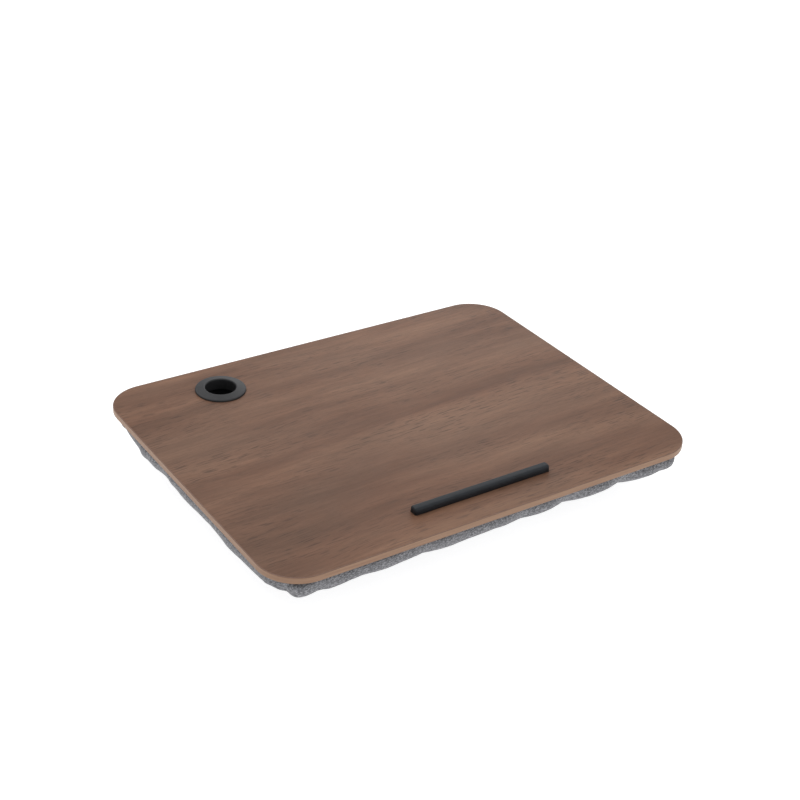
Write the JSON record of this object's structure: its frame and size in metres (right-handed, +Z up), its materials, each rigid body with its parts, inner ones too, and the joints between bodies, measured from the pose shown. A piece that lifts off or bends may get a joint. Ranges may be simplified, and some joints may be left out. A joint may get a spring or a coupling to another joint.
{
  "type": "cushioned lap desk",
  "caption": "Flat walnut-faced lap board with a cable hole and a stop strip, on a soft gathered cushion with a zipped cover.",
  "frame": {"origin": "centre of the footprint, on the surface that the cushion stands on", "axes": "+Z up, +X to the user's right along the long side, +Y away from the user"},
  "size_m": [0.53, 0.41, 0.0687],
  "materials": {
    "fibreboard": "raw fibreboard edge, hidden",
    "walnut_laminate": "matt walnut-grain laminate",
    "backing": "plain dark backing sheet",
    "edge_band": "matt tan edge banding",
    "grommet_plastic": "moulded, fine matt texture",
    "strip_rubber": "soft-touch matt",
    "adhesive_tape": "foam tape",
    "hook_tape": "moulded hooks on woven tape",
    "loop_tape": "brushed loop tape",
    "heather_fabric": "grey heather weave",
    "lining_fabric": "plain black weave",
    "bag_fabric": "plain white lining cloth",
    "filling": "soft polyester filling",
    "pocket_cloth": "black cloth",
    "zip_tape": "woven tape, dark grey",
    "zip_chain": "nylon coil",
    "zip_metal": "plated zinc alloy"
  },
  "bodies": {
    "desk": {"board_core": "fibreboard", "top_laminate": "walnut_laminate", "bottom_laminate": "backing", "edge_band": "edge_band", "cable_grommet": "grommet_plastic", "grommet_lock_ring": "grommet_plastic", "stop_strip": "strip_rubber", "stop_strip_tape": "adhesive_tape", "hook_tape_front": "hook_tape", "hook_tape_back": "hook_tape", "hook_tape_left": "hook_tape", "hook_tape_right": "hook_tape", "loop_tape_front": "loop_tape", "loop_tape_back": "loop_tape", "loop_tape_left": "loop_tape", "loop_tape_right": "loop_tape", "cushion_cover": "heather_fabric", "cushion_top_panel": "lining_fabric", "inner_bag": "bag_fabric", "cushion_filling": "filling", "cable_pocket": "pocket_cloth", "zip_tape_upper": "zip_tape", "zip_tape_lower": "zip_tape", "zip_chain_upper": "zip_chain", "zip_chain_lower": "zip_chain", "zip_bottom_stop": "zip_metal", "zip_top_stops": "zip_metal"},
    "zip_slider_body": {"zip_slider": "zip_metal"},
    "pull_tab_body": {"zip_pull_tab": "zip_metal"}
  },
  "joints": [
    {"name": "zip_slide", "type": "slide", "parent": "desk", "child": "zip_slider_body", "axis": [-1, 0, 0], "range_m": [0, 0.3632]},
    {"name": "pull_tab_swing", "type": "hinge", "parent": "zip_slider_body", "child": "pull_tab_body", "pos_m": [0.1816, 0.20195, 0.043], "axis": [0, 0, -1], "range_deg": [0, 180]}
  ]
}
